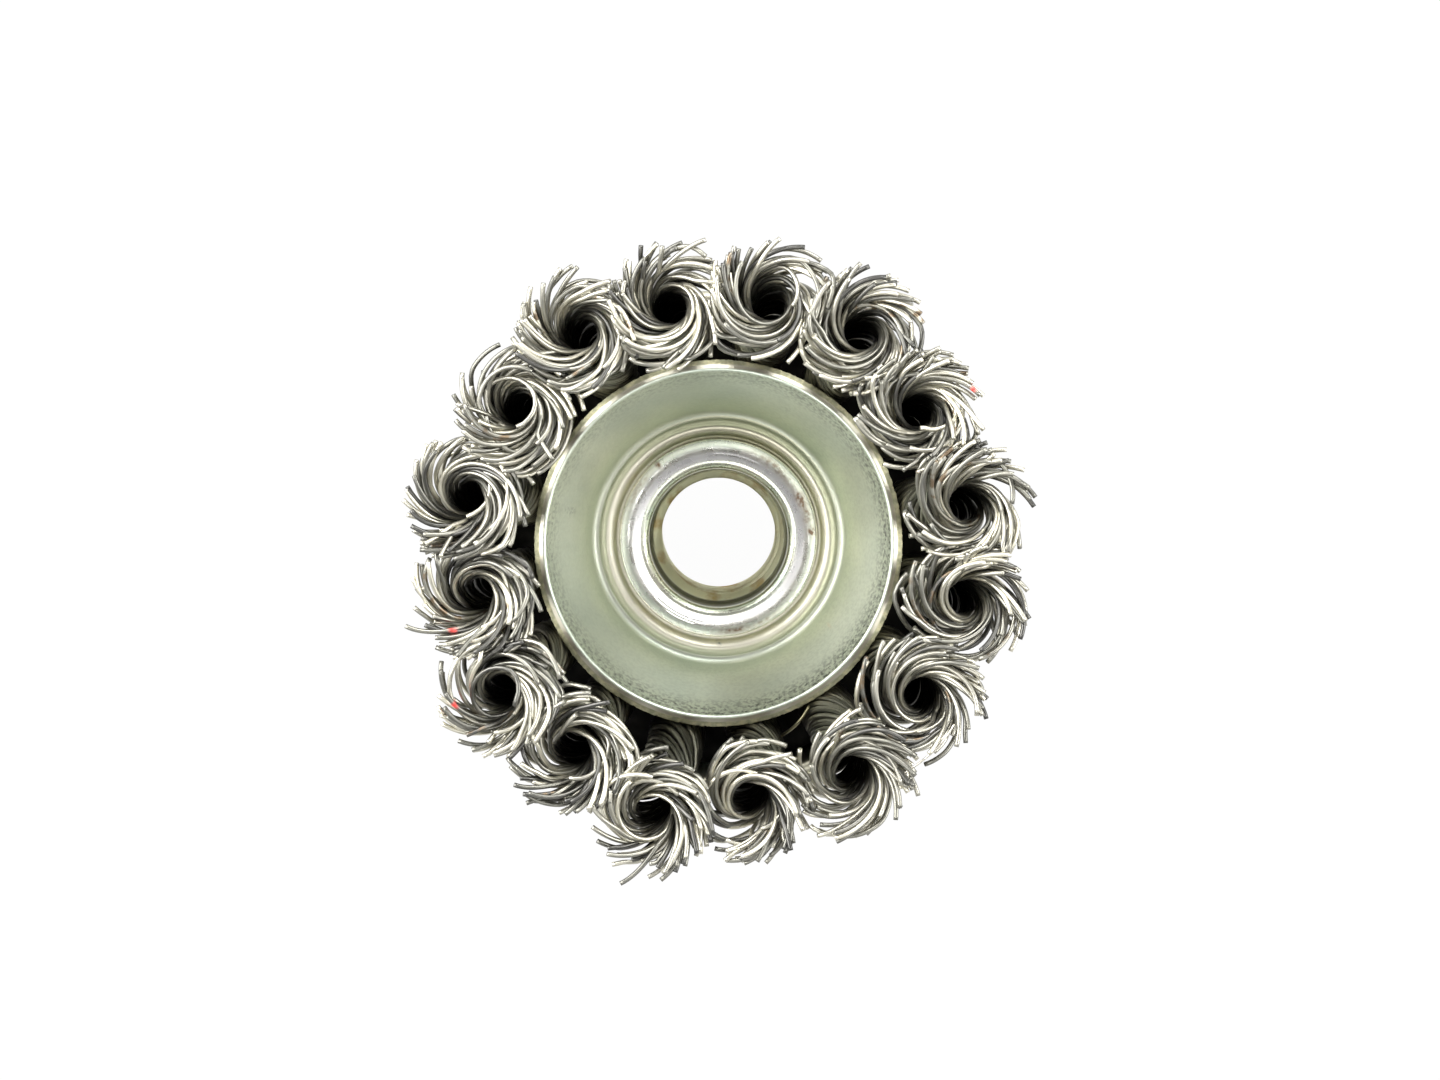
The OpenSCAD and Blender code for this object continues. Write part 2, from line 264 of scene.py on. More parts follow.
def hub_profile():
    """The hub's closed section from the back face up the outside, over the collar and down the
    bore, as (radius, height, hexagon, thread), the last two being 1 where those forms apply. The
    collar's top falls outward from the lip by a straight slope and a fourth power of the way
    across, with small tool marks."""
    lip_c = (RELIEF_R + LIP_R, COLLAR_TOP_Z - LIP_R)
    edge_c = (COLLAR_R - COLLAR_EDGE_R, COLLAR_TOP_Z - COLLAR_FALL - 0.32)
    corner = HEX_AF / 2 / math.cos(math.radians(30))
    across = np.linspace(1.0, 0.0, 26, endpoint=False)
    band_r = lip_c[0] + (edge_c[0] + 0.25 - lip_c[0]) * across
    marks = np.random.default_rng(2).normal(0.0, TOOL_WAVE, len(across))
    band_z = COLLAR_TOP_Z - BAND_FALL * across - (COLLAR_FALL - BAND_FALL) * across ** 4 + marks
    band = np.stack([band_r, band_z], axis=1)
    parts = [
        (line((BORE_R + THREAD_DEPTH, 0.0), (corner - HEX_CHAMFER[0], 0.0), 6), 1, 0),
        (line((corner - HEX_CHAMFER[0], 0.0), (corner, HEX_CHAMFER[1]), 5), 1, 0),
        (line((corner, HEX_CHAMFER[1]), (corner, HEX_H - CHAMFER_BACK), 6), 1, 0),
        (line((corner, HEX_H - CHAMFER_BACK), (corner - CHAMFER_BACK, HEX_H), 4), 1, 0),
        (line((corner - CHAMFER_BACK, HEX_H), (SPIGOT_R, HEX_H), 4), 1, 0),
        (line((SPIGOT_R, HEX_H), (SPIGOT_R, COLLAR_Z), 5), 0, 0),
        (line((SPIGOT_R, COLLAR_Z), (edge_c[0], COLLAR_Z), 4), 0, 0),
        (arc((edge_c[0], COLLAR_Z + COLLAR_EDGE_R), COLLAR_EDGE_R, -90, 0, 6), 0, 0),
        (arc(edge_c, COLLAR_EDGE_R, 0, 50, 6), 0, 0),
        (band, 0, 0),
        (arc(lip_c, LIP_R, 90, 180, 16), 0, 0),
        (line((RELIEF_R, lip_c[1] - 0.1), (RELIEF_R, THREAD_LEN + RELIEF_CORNER), 8), 0, 0),
        (line((RELIEF_R - 0.1, THREAD_LEN), (BORE_R + THREAD_DEPTH, THREAD_LEN), 3), 0, 0),
        (line((BORE_R, THREAD_LEN), (BORE_R, 0.0), 84), 0, 1),
    ]
    rz = np.concatenate([p[0] for p in parts])
    hexed = np.concatenate([np.full(len(p[0]), p[1]) for p in parts])
    threaded = np.concatenate([np.full(len(p[0]), p[2]) for p in parts])
    return rz, hexed[:, None] == 1, threaded[:, None] == 1


def make_hub():
    """Turns the section through a full circle. On the hexagon the radius is held to half the
    width over flats divided by the cosine of the angle from the nearest flat. In the bore it
    grows from a flat crest to a flat root along straight flanks, as a helix that climbs one
    pitch in each turn. Scratches are bell-shaped grooves across, faded at both ends."""
    around = 240
    rz, hexed, threaded = hub_profile()
    a = np.linspace(0.0, 2 * np.pi, around, endpoint=False)[None, :]
    r = np.repeat(rz[:, :1], around, axis=1)
    z = np.repeat(rz[:, 1:], around, axis=1)
    from_flat = a % (np.pi / 3) - np.pi / 6
    r = np.where(hexed, np.minimum(r, HEX_AF / 2 / np.cos(from_flat)), r)
    phase = (z / THREAD_PITCH - a / (2 * np.pi)) % 1.0
    groove = THREAD_DEPTH * np.clip(1.2 - np.abs(phase - 0.5) * 3.0, 0.0, 1.0)
    chamfer = np.maximum(THREAD_DEPTH - (THREAD_LEN - z), THREAD_DEPTH - z)
    r = np.where(threaded, BORE_R + np.maximum(groove, chamfer), r)
    scratched = np.zeros(r.shape)
    for first, last, radius in COLLAR_SCRATCHES:
        inside = np.zeros(a.shape)
        for degrees in (np.degrees(a), np.degrees(a) - 360.0):
            begun = smooth(first, first + SCRATCH_FADE, degrees)
            inside += begun * (1.0 - smooth(last - SCRATCH_FADE, last, degrees))
        scratched += inside * np.exp(-((r - radius) / SCRATCH_HALF) ** 2)
    top = z > COLLAR_Z + 0.6
    z = z - SCRATCH_DEPTH * scratched * top
    points = np.stack([r * np.cos(a), r * np.sin(a), z], axis=-1).reshape(-1, 3)
    hub = mesh_piece("hub_turned", points, grid_faces(len(rz), around, True))
    band = smooth(RELIEF_R + 0.75, RELIEF_R + 1.05, r)
    band = band * (1.0 - smooth(COLLAR_R - 0.35, COLLAR_R - 0.1, r))
    add_attribute(hub, "burnish", band * top)
    add_attribute(hub, "stain", patches(a, r, COLLAR_STAINS) * top)
    add_attribute(hub, "grime", (r < RELIEF_R + 0.05) * (1.0 - smooth(*GRIME_ENDS_Z, z)))
    root_r = BORE_R + THREAD_DEPTH
    # Painted shade: a dark ring on the ledge and wall of the relief between thread and lip, where
    # the recess lies in shade
    throat_painted_shade = smooth(root_r - 0.1, root_r, r) * (r < RELIEF_R + 0.1)
    add_attribute(hub, "throat_painted_shade", throat_painted_shade * (1.0 - smooth(*THROAT_ENDS_Z, z)))
    return hub


def hub_material():
    """Cream zinc plating on the lip and the hexagon, bright steel where the swaging tool ran,
    brown stains on that, olive oil and dust in the bore, each broken up by noise, and a dark
    painted shade in the relief between lip and thread."""
    material, tree, shader = new_material("hub_plating", ZINC, 0.3, 1.0)
    cloud = noise_node(tree, 260.0, 3.0)
    plated = mix_colours(tree, range_node(tree, cloud, 0.3, 0.7), PLATED_LIP, CREAM)
    rings = turned_rings(tree, 1800.0)
    bright = mix_colours(tree, range_node(tree, rings, 0.35, 0.65), BURNISHED, TOOL_MARK)
    colour = mix_colours(tree, attribute_node(tree, "burnish"), plated, bright)
    speckle = range_node(tree, noise_node(tree, 2300.0, 3.0), 0.35, 0.62)
    speckle = math_node(tree, "ADD", speckle, 0.3)
    stained = math_node(tree, "MULTIPLY", attribute_node(tree, "stain"), speckle)
    colour = mix_colours(tree, range_node(tree, stained, 0.0, 1.0), colour, STAIN_BROWN)
    blotch = range_node(tree, noise_node(tree, 420.0, 3.0), 0.3, 0.7, 0.55, 1.0)
    aged = range_node(tree, noise_node(tree, 480.0, 4.0), 0.5, 0.66)
    oiled = mix_colours(tree, aged, BORE_OLIVE, BORE_GOLD)
    grimy = math_node(tree, "MULTIPLY", attribute_node(tree, "grime"), blotch)
    colour = mix_colours(tree, grimy, colour, oiled)
    # Painted shade in the relief between thread and lip
    colour = mix_colours(tree, attribute_node(tree, "throat_painted_shade"), colour, THROAT_PAINTED_SHADE)
    tree.links.new(colour, shader.inputs["Base Color"])
    dull = math_node(tree, "MAXIMUM", attribute_node(tree, "grime"), attribute_node(tree, "stain"))
    grain = range_node(tree, noise_node(tree, 700.0), 0.3, 0.7, 0.0, 0.06)
    rough = math_node(tree, "ADD", range_node(tree, dull, 0.0, 1.0, 0.24, 0.5), grain)
    tree.links.new(rough, shader.inputs["Roughness"])
    return material


hub = make_hub()
hub.data.materials.append(hub_material())
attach(hub, "root")
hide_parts("threaded_hub")

# Cup shell
# The cup is drawn from zinc-plated steel sheet. Its skirt opens a little and ends in a tumbled
# edge, and its floor is clamped between the hexagon and the knot plate.
ROOT_R = 19.8
RING_H = 3.0
RING_TOP_Z = PLATE_Z + RING_H + PLATE_SHEET
LEAN = math.radians(14.9)
STEM_R = 2.9
SKIRT_Z = CUP_Z + 11.0
SKIRT_ANGLE = math.radians(8.0)
SKIRT_GAP = 0.4
CUP_BEND = 3.0 + CUP_SHEET / 2
HOLE_R = SPIGOT_R + 0.05
# Dark deposit on the dish, also used as painted shade towards the cup's floor
DEPOSIT_AND_PAINTED_SHADE = (0.07, 0.08, 0.07)
# Olive-brown painted shade for the grooves and the cup, also darkening one side of the dish
SHADE_AND_SIDE_DARK = (0.2, 0.19, 0.11)
SHEARED = (0.42, 0.42, 0.29)
SHEARED_PALE = (0.68, 0.65, 0.44)
# Painted shade over the whole cup
CUP_PAINTED_SHADE = 0.35


def stem_axis_r(z):
    """Radius of a stem's middle at height z: straight up in the plate, then leaning out."""
    return ROOT_R + math.tan(LEAN) * np.maximum(0.0, z - RING_TOP_Z)


def moved_line(path, distance):
    """A line beside another one: each point goes along the mitre of its two stretches."""
    d = np.diff(path, axis=0)
    d /= np.linalg.norm(d, axis=1)[:, None]
    n = np.stack([-d[:, 1], d[:, 0]], axis=1)
    before = np.concatenate([n[:1], n])
    after = np.concatenate([n, n[-1:]])
    return path + distance * (before + after) / (1.0 + np.sum(before * after, axis=1))[:, None]


def lathe(name, section, around, spread=None):
    """Turns a closed section of (radius, height) points through a full circle. spread, a
    function of the angles, radii and heights, gives small moves of radius and height."""
    a = np.linspace(0.0, 2 * np.pi, around, endpoint=False)[None, :]
    r = np.repeat(section[:, :1], around, axis=1)
    z = np.repeat(section[:, 1:], around, axis=1)
    if spread is not None:
        dr, dz = spread(a, r, z)
        r = r + dr
        z = z + dz
    points = np.stack([r * np.cos(a), r * np.sin(a), z], axis=-1).reshape(-1, 3)
    return mesh_piece(name, points, grid_faces(len(section), around, True)), a, r, z


def plated_material():
    """Green-grey satin zinc with cloudy patches, cream where tools have worn it and a cream
    painted light on two sides of the dish, olive-brown painted shade in the grooves and the
    cup, darker towards one side of the dish, a dark speckled deposit near the rim with dark
    painted shade towards the cup's floor, and rough torn steel on the sheared edge."""
    material, tree, shader = new_material("zinc_plating", ZINC, 0.42, 1.0)
    cloud = range_node(tree, noise_node(tree, 170.0, 4.0), 0.32, 0.68)
    colour = mix_colours(tree, cloud, ZINC, ZINC_CLOUD)
    colour = mix_colours(tree, attribute_node(tree, "warm"), colour, CREAM)
    speckle = range_node(tree, noise_node(tree, 2600.0, 4.0), 0.42, 0.62)
    # Painted shade in the grooves and deep in the cup, and darker towards one side of the dish's
    # bead
    colour = mix_colours(tree, attribute_node(tree, "painted_shade_and_dark_side"), colour, SHADE_AND_SIDE_DARK)
    # Dark deposit on the dish; painted shade towards the cup's floor
    dark = math_node(tree, "MULTIPLY", attribute_node(tree, "deposit_and_painted_shade"), speckle)
    colour = mix_colours(tree, dark, colour, DEPOSIT_AND_PAINTED_SHADE)
    torn = attribute_node(tree, "sheared")
    flecks = range_node(tree, noise_node(tree, 1600.0, 3.0), 0.38, 0.66)
    colour = mix_colours(tree, torn, colour, mix_colours(tree, flecks, SHEARED, SHEARED_PALE))
    tree.links.new(colour, shader.inputs["Base Color"])
    grain = noise_node(tree, 2600.0, 3.0)
    satin = range_node(tree, grain, 0.3, 0.7, 0.34, 0.48)
    rough = math_node(tree, "ADD", satin, math_node(tree, "MULTIPLY", torn, 0.3))
    tree.links.new(rough, shader.inputs["Roughness"])
    add_bump(tree, shader, grain, 0.00003, 0.5)
    return material


def make_cup():
    """The cup's middle line is floor, bend and skirt, the bend touching both. Its two faces lie
    half the sheet to each side, and a half circle closes the skirt's edge."""
    mid_r = stem_axis_r(SKIRT_Z) + STEM_R + SKIRT_GAP + CUP_SHEET / 2 / math.cos(SKIRT_ANGLE)
    floor_z = CUP_Z + CUP_SHEET / 2
    bend_z = floor_z + CUP_BEND
    lean_in = (SKIRT_Z - bend_z) * math.tan(SKIRT_ANGLE)
    bend_c = (mid_r - lean_in - CUP_BEND / math.cos(SKIRT_ANGLE), bend_z)
    skirt = math.degrees(SKIRT_ANGLE)
    half = CUP_SHEET / 2
    edge_c = (mid_r - half * math.sin(SKIRT_ANGLE), SKIRT_Z - half * math.cos(SKIRT_ANGLE))
    path = np.concatenate([
        line((HOLE_R, floor_z), (bend_c[0], floor_z), 8),
        arc(bend_c, CUP_BEND, -90, -skirt, 16),
        np.array([edge_c]),
    ])
    section = np.concatenate([
        moved_line(path, -half)[:-1],
        arc(edge_c, half, -skirt, 180 - skirt, 11),
        moved_line(path, half)[-2::-1],
    ])
    cup, a, r, z = lathe("cup_drawn", section, 200)
    add_attribute(cup, "warm", smooth(SKIRT_Z - 1.2, SKIRT_Z - 0.2, z))
    # Painted shade: the cup darkens all over and most towards its floor, where it lies deep under
    # the knots
    add_attribute(cup, "deposit_and_painted_shade", 0.5 * smooth(CUP_Z + 5.0, CUP_Z, z) * (r > 20.0))
    add_attribute(cup, "sheared", 0.0 * z)
    add_attribute(cup, "painted_shade_and_dark_side", CUP_PAINTED_SHADE + 0.2 * smooth(SKIRT_Z - 3.0, CUP_Z, z))
    return cup


cup = make_cup()
plating = plated_material()
cup.data.materials.append(plating)
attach(cup, "root")
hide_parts("cup_shell")

# Knot plate
# The plate is punched from bare steel sheet with a hole for each knot. It keeps its CAD node,
# painted near black as shade for the depth between the knots.
# Near-black colours as painted shade for the depth between the knots
PLATE_PAINTED_SHADE = (0.003, 0.003, 0.0025)
PLATE_PAINTED_SHADE_PALE = (0.012, 0.011, 0.01)


def plate_material():
    """Dull near-black sheet, painted shade for the depth between knots, mottled by noise."""
    material, tree, shader = new_material("plate_painted_shade_sheet", PLATE_PAINTED_SHADE, 0.6, 0.9)
    mottle = range_node(tree, noise_node(tree, 600.0, 4.0), 0.3, 0.7)
    tree.links.new(mix_colours(tree, mottle, PLATE_PAINTED_SHADE, PLATE_PAINTED_SHADE_PALE), shader.inputs["Base Color"])
    tree.links.new(range_node(tree, mottle, 0.0, 1.0, 0.7, 0.5), shader.inputs["Roughness"])
    add_bump(tree, shader, noise_node(tree, 1800.0), 0.00003, 0.5)
    return material


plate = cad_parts["knot_plate"]
plate.data.materials.clear()
plate.data.materials.append(plate_material())

# Inner dish
# The dish is pressed from thinner plated sheet. Its blank was sheared, so its rim shows a bright
# cut and a torn edge, and a raised bead runs round the collar that clamps its floor.
RIM_Z = DISH_Z + 11.0
DISH_GAP = 0.1
BEAD_HALF = 0.85
BEAD_FOOT = 1.2
GROOVE_H = 0.3
BEAD_H = 0.9
BEAD_R = COLLAR_R + 0.4 + BEAD_HALF
DISH_FLOOR_R = BEAD_R + BEAD_HALF + 0.05
DISH_BEND = 0.9 + DISH_SHEET / 2
RIM_CORNER = 0.3
# Small marks on the dish, as COLLAR_STAINS gives them: pale specks, then dark spots
DISH_SPECKS = [
    (-3.0, 12.7, 0.25, 0.12, 1.0), (-8.0, 12.4, 0.2, 0.12, 0.9), (-38.0, 14.6, 0.15, 0.15, 0.8),
]
DISH_SPOTS = [
    (168.6, 15.6, 0.35, 0.3, 0.75), (-90.0, 11.0, 0.25, 0.25, 0.9), (62.0, 15.2, 0.3, 0.2, 0.3),
]
# Lines of deposit below the rim as (depth under it, width, strength), and a thin film all over
DEPOSIT_LINES = [(0.25, 0.2, 1.0), (1.0, 0.35, 0.65), (1.8, 0.8, 0.35)]
DEPOSIT_FILM = 0.08
# The deposit is thickest towards one side, and the dish is darkest towards another, as angles
DEPOSIT_SIDE = math.radians(-50.0)
DARKER_SIDE = math.radians(80.0)


def waves_round(a, seed, counts, falloff):
    """Sum of cosines of whole numbers of waves round the circle, with seeded phases."""
    rng = np.random.default_rng(seed)
    total = np.zeros_like(a)
    for k, n in enumerate(counts):
        total += falloff ** k * np.cos(n * a + rng.uniform(0, 2 * np.pi))
    return total


def dish_spread(a, r, z):
    """Moves of radius and height near the rim: slow waves round the circle, and on the outer part
    of the cut face a sum of fast waves for shear marks and the clipped dips of others for
    chips."""
    rim = smooth(RIM_Z - 1.6, RIM_Z - 0.2, z)
    rim_r = stem_axis_r(RIM_Z) - STEM_R - DISH_GAP
    torn = smooth(RIM_Z - 1.0, RIM_Z - 0.3, z) * smooth(rim_r - 0.5, rim_r - 0.1, r)
    bite = waves_round(a, 3, [91, 137, 188, 233, 281], 0.9)
    chips = np.minimum(waves_round(a, 8, [23, 31, 43, 57], 0.9) + 1.6, 0.0)
    wave = waves_round(a, 5, [2, 3, 5, 9], 0.7)
    dr = rim * wave * 0.02 + torn * (bite * 0.014 + chips * 0.04)
    return dr, rim * wave * 0.04 + torn * (bite * 0.02 + chips * 0.04)


def make_dish():
    """The dish's middle line is floor, bend and a straight wall that touches the bend's circle.
    Its two faces lie half the sheet to each side, and its rim is cut square with the upper
    corner rounded. On the upper face the bead rises in a cosine, from a shallow groove beside
    the collar and from the bend."""
    floor_z = DISH_Z + DISH_SHEET / 2
    rim = np.array([stem_axis_r(RIM_Z) - STEM_R - DISH_GAP - DISH_SHEET / 2, RIM_Z])
    centre = np.array([DISH_FLOOR_R, floor_z + DISH_BEND])
    to_rim = rim - centre
    steepness = math.atan2(to_rim[1], to_rim[0])
    touch = math.degrees(steepness - math.acos(DISH_BEND / np.linalg.norm(to_rim)))
    foot = arc(centre, DISH_BEND, touch, touch, 1)[0]
    brow = foot + (rim - foot) * 0.75
    fine = np.concatenate([
        line((HOLE_R, floor_z), (DISH_FLOOR_R, floor_z), 34),
        arc(centre, DISH_BEND, -90, touch, 14)[:-1],
        line(foot, brow, 8),
        line(brow, rim, 14),
        rim[None, :],
    ])
    coarse = np.concatenate([
        np.array([[HOLE_R, floor_z]]), arc(centre, DISH_BEND, -90, touch, 8), rim[None, :],
    ])
    upper = moved_line(fine, DISH_SHEET / 2)
    under = moved_line(coarse, -DISH_SHEET / 2)
    x = upper[:, 0] - BEAD_R
    x = x / np.where(x < 0.0, BEAD_FOOT, BEAD_HALF)
    arch = BEAD_H * np.cos(np.clip(x, -1.0, 1.0) * np.pi / 2)
    arch = np.where(x < 0.0, np.maximum(arch, GROOVE_H), arch)
    upper[:, 1] += np.where(upper[:, 0] < DISH_FLOOR_R, arch, 0.0)
    face = (upper[-1] - under[-1]) / DISH_SHEET
    wall = (rim - brow) / np.linalg.norm(rim - brow)
    t = np.linspace(0.0, np.pi / 2, 7)[:, None]
    rounded = wall * np.cos(t) + face * np.sin(t)
    corner = upper[-1] - RIM_CORNER * (face + wall) + RIM_CORNER * rounded
    cut = line(under[-1], corner[0], 9)
    section = np.concatenate([under[:-1], cut, corner, upper[-3::-1]])
    dish, a, r, z = lathe("dish_pressed", section, 600, dish_spread)
    rim_in = upper[-1, 0]
    near_rim = smooth(RIM_Z - 1.1, RIM_Z - 0.5, z)
    face = smooth(rim_in + 0.16, rim_in + 0.26, r) * near_rim
    torn = smooth(rim_in + 0.55, rim_in + 0.66, r) * near_rim
    bead = 1.0 - smooth(BEAD_R + 0.5, BEAD_R + 1.3, r)
    # Painted light: a cream tint that rises on two opposite sides of the dish, where the cone is
    # lit brightest
    painted_light = 0.18 + 0.1 * np.cos(2 * a + 1.0)
    rubbed_and_painted_light = np.maximum(np.maximum(bead, face), painted_light) + patches(a, r, DISH_SPECKS)
    add_attribute(dish, "warm", np.clip(rubbed_and_painted_light, 0.0, 1.0))
    side = 0.5 + 0.5 * np.cos(a - DEPOSIT_SIDE)
    down = RIM_Z - z
    lines = np.full(z.shape, DEPOSIT_FILM)
    for depth, width, strength in DEPOSIT_LINES:
        lines += strength * np.exp(-((down - depth) / width) ** 2)
    lines = lines * (0.3 + 0.7 * side) * (1.0 - face) * (r > DISH_FLOOR_R + 1.0)
    add_attribute(dish, "deposit_and_painted_shade", np.clip(lines + patches(a, r, DISH_SPOTS), 0.0, 1.0))
    back = 0.5 + 0.5 * np.cos(a - DARKER_SIDE)
    # Painted shade: the groove beside the collar and the valley at the bead's outer foot are
    # darkened, both more towards one side, and the bead darkens towards that side
    painted_shade_and_dark_side = (0.15 + 0.75 * back) * np.exp(-((r - COLLAR_R - 0.05) / 0.22) ** 2)
    painted_shade_and_dark_side += (0.35 + 0.35 * back) * np.exp(-((r - DISH_FLOOR_R - 0.15) / 0.2) ** 2)
    painted_shade_and_dark_side += 0.55 * back ** 4 * smooth(COLLAR_R, COLLAR_R + 0.3, r) * bead
    add_attribute(dish, "painted_shade_and_dark_side", np.clip(painted_shade_and_dark_side, 0.0, 0.9))
    add_attribute(dish, "sheared", torn)
    return dish


dish = make_dish()
dish.data.materials.append(plating)
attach(dish, "root")
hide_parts("inner_dish")

# Knots
# Each knot is a bundle of about seventy drawn steel wires, laid left-handed round a hollow
# middle in three layers. Past the stem the wires spring apart into a rose of cut ends.
WIRE_R = 0.25
TIP_Z = SKIRT_Z + 22.0
ROSE_LEN = 6.0
ROSE_Z = TIP_Z - ROSE_LEN
ROSE_R = 6.1
MOUTH_H = 2.0
LAYER_R = (1.96, 2.3, 2.66)
LAYER_WIRES = (18, 23, 27)
LAYER_REACH = (6.05, 6.25, 6.45)
LAYER_FIRST = (10.0, 13.0, 15.0)
LAYER_LAST = (32.0, 29.0, 27.0)
LAYER_DROP = (0.0, 1.2, 2.4)
LAYER_START = (0.0, 1.8, 3.6)
FLUNG_OUT = math.radians(9.0)
TRIMMED = 0.085
SHORT_SHARE = 0.3
SHORT_BY = (0.3, 1.6)
KINKED_SHARE = 0.4
KINK_SPREAD = 17.0
LEAST_SINE = 0.26
HOLLOW_R = 1.9
ROSE_STEPS = 23
STEM_STEPS = 15
WIRE_SIDES = 7
RUSTY_SHARE = 0.03
# Share of the room beside a knot that its wires keep to, and how softly they are held there
ROOM_KEPT = 0.95
ROOM_SOFT = 0.3
# How far the wires go over the next knot's and under the last one's
CROSS_OVER = 0.5
CROSS_UNDER = 0.7
KNOTS = 16
KNOT_TURN = 10.3
TURN_RATE = math.tan(math.radians(36.0)) / STEM_R
BENT_OUT = (0, -0.9, 0.9, 0.2, -0.2, 0.7, -0.7, 0.3, -0.9, 0.5, -0.8, 1.4, -0.5, 0.5, -0.4, -0.2)
BENT_ROUND = (0.4, 1.2, 0.9, 0.4, 0.5, -0.2, -0.4, 0, -0.1, 0.1, -0.6, -0.9, -1.2, -0.6, -0.1, 0.8)
# Wires that stand out past a rose, by knot: (angle in degrees round the knot, extra reach)
STRAYS = {
    0: [(37.0, 0.9), (8.0, 0.5)], 2: [(94.0, 0.9), (80.0, 0.6)], 3: [(93.0, 0.7)],
    4: [(62.0, 1.0)], 7: [(186.0, 0.8)], 8: [(177.0, 1.0), (196.0, 0.5)], 10: [(205.0, 0.8)],
    11: [(245.0, 1.1), (262.0, 0.5)], 13: [(236.0, 0.7)], 14: [(330.0, 0.6)],
}
# Specks of red paint on the tips, as (x, y) of each
PAINT_SPECKS = [(25.4, 16.6), (-26.6, -7.6), (-26.4, -15.1)]
WIRE_DARK = (0.11, 0.108, 0.1)
WIRE_GREY = (0.26, 0.255, 0.22)
WIRE_PALE = (0.47, 0.455, 0.39)
WIRE_CREAM = (0.76, 0.73, 0.61)
# Near-black painted shade for the wires deep in the stems and the hollow
WIRE_PAINTED_SHADE = (0.07, 0.066, 0.05)
WIRE_RUST = (0.2, 0.15, 0.1)
RED_PAINT = (0.7, 0.03, 0.02)


def knot_middle(i, z):
    """Middle of knot i at heights z: it leans out, and is bent off its place above the rim."""
    bend = np.clip((z - RIM_Z) / (ROSE_Z - RIM_Z), 0.0, 1.0)
    a = math.radians(KNOT_TURN + 360.0 * i / KNOTS)
    out = stem_axis_r(z) + BENT_OUT[i % KNOTS] * bend
    side = BENT_ROUND[i % KNOTS] * bend
    return out * math.cos(a) - side * math.sin(a), out * math.sin(a) + side * math.cos(a)


def rooms_beside(i, z, direction):
    """Distances from the middle of knot i to the planes halfway to the next and to the last
    knot, measured in the given directions, and very long where a direction leads away."""
    x, y = knot_middle(i, z)
    rooms = []
    for j in (i + 1, i - 1):
        nx, ny = knot_middle(j % KNOTS, z)
        facing = np.cos(direction - np.arctan2(ny - y, nx - x))
        half_gap = np.hypot(nx - x, ny - y) / 2
        rooms.append(np.where(facing > 0.05, half_gap / np.maximum(facing, 0.05), 99.0))
    return rooms


def tube_points(path, radius, sides, reference):
    """Rings of points round paths of shape (wires, steps, 3). Each ring lies across the path, in
    the plane of the two directions got by crossing the path's own with the reference."""
    along = np.gradient(path, axis=1)
    along /= np.linalg.norm(along, axis=2, keepdims=True)
    n = np.cross(along, reference)
    n /= np.linalg.norm(n, axis=2, keepdims=True)
    b = np.cross(along, n)
    a = np.linspace(0.0, 2 * np.pi, sides, endpoint=False)[:, None]
    ring = n[:, :, None, :] * np.cos(a) + b[:, :, None, :] * np.sin(a)
    return path[:, :, None, :] + ring * radius


def tube_faces(wires, steps, sides):
    """Quads along each tube and a flat cap at both of its ends, facing outward."""
    first = np.arange(wires)[:, None, None] * steps * sides
    quads = (grid_faces(steps, sides, False)[None] + first).reshape(-1, 4)
    ring = np.arange(sides)[None, :]
    base = np.arange(wires)[:, None] * steps * sides
    return quads, [(base + ring)[:, ::-1], base + (steps - 1) * sides + ring]


def step_length(reach, start_r, heading):
    """Length of each wire's steps through the rose: the way it has to reach, over the number of
    steps and the mean sine of its headings, which is kept from being tiny."""
    mean_sine = np.maximum(np.mean(np.sin(heading), axis=1), LEAST_SINE)
    return ((reach - start_r) / (ROSE_STEPS * mean_sine))[:, None]


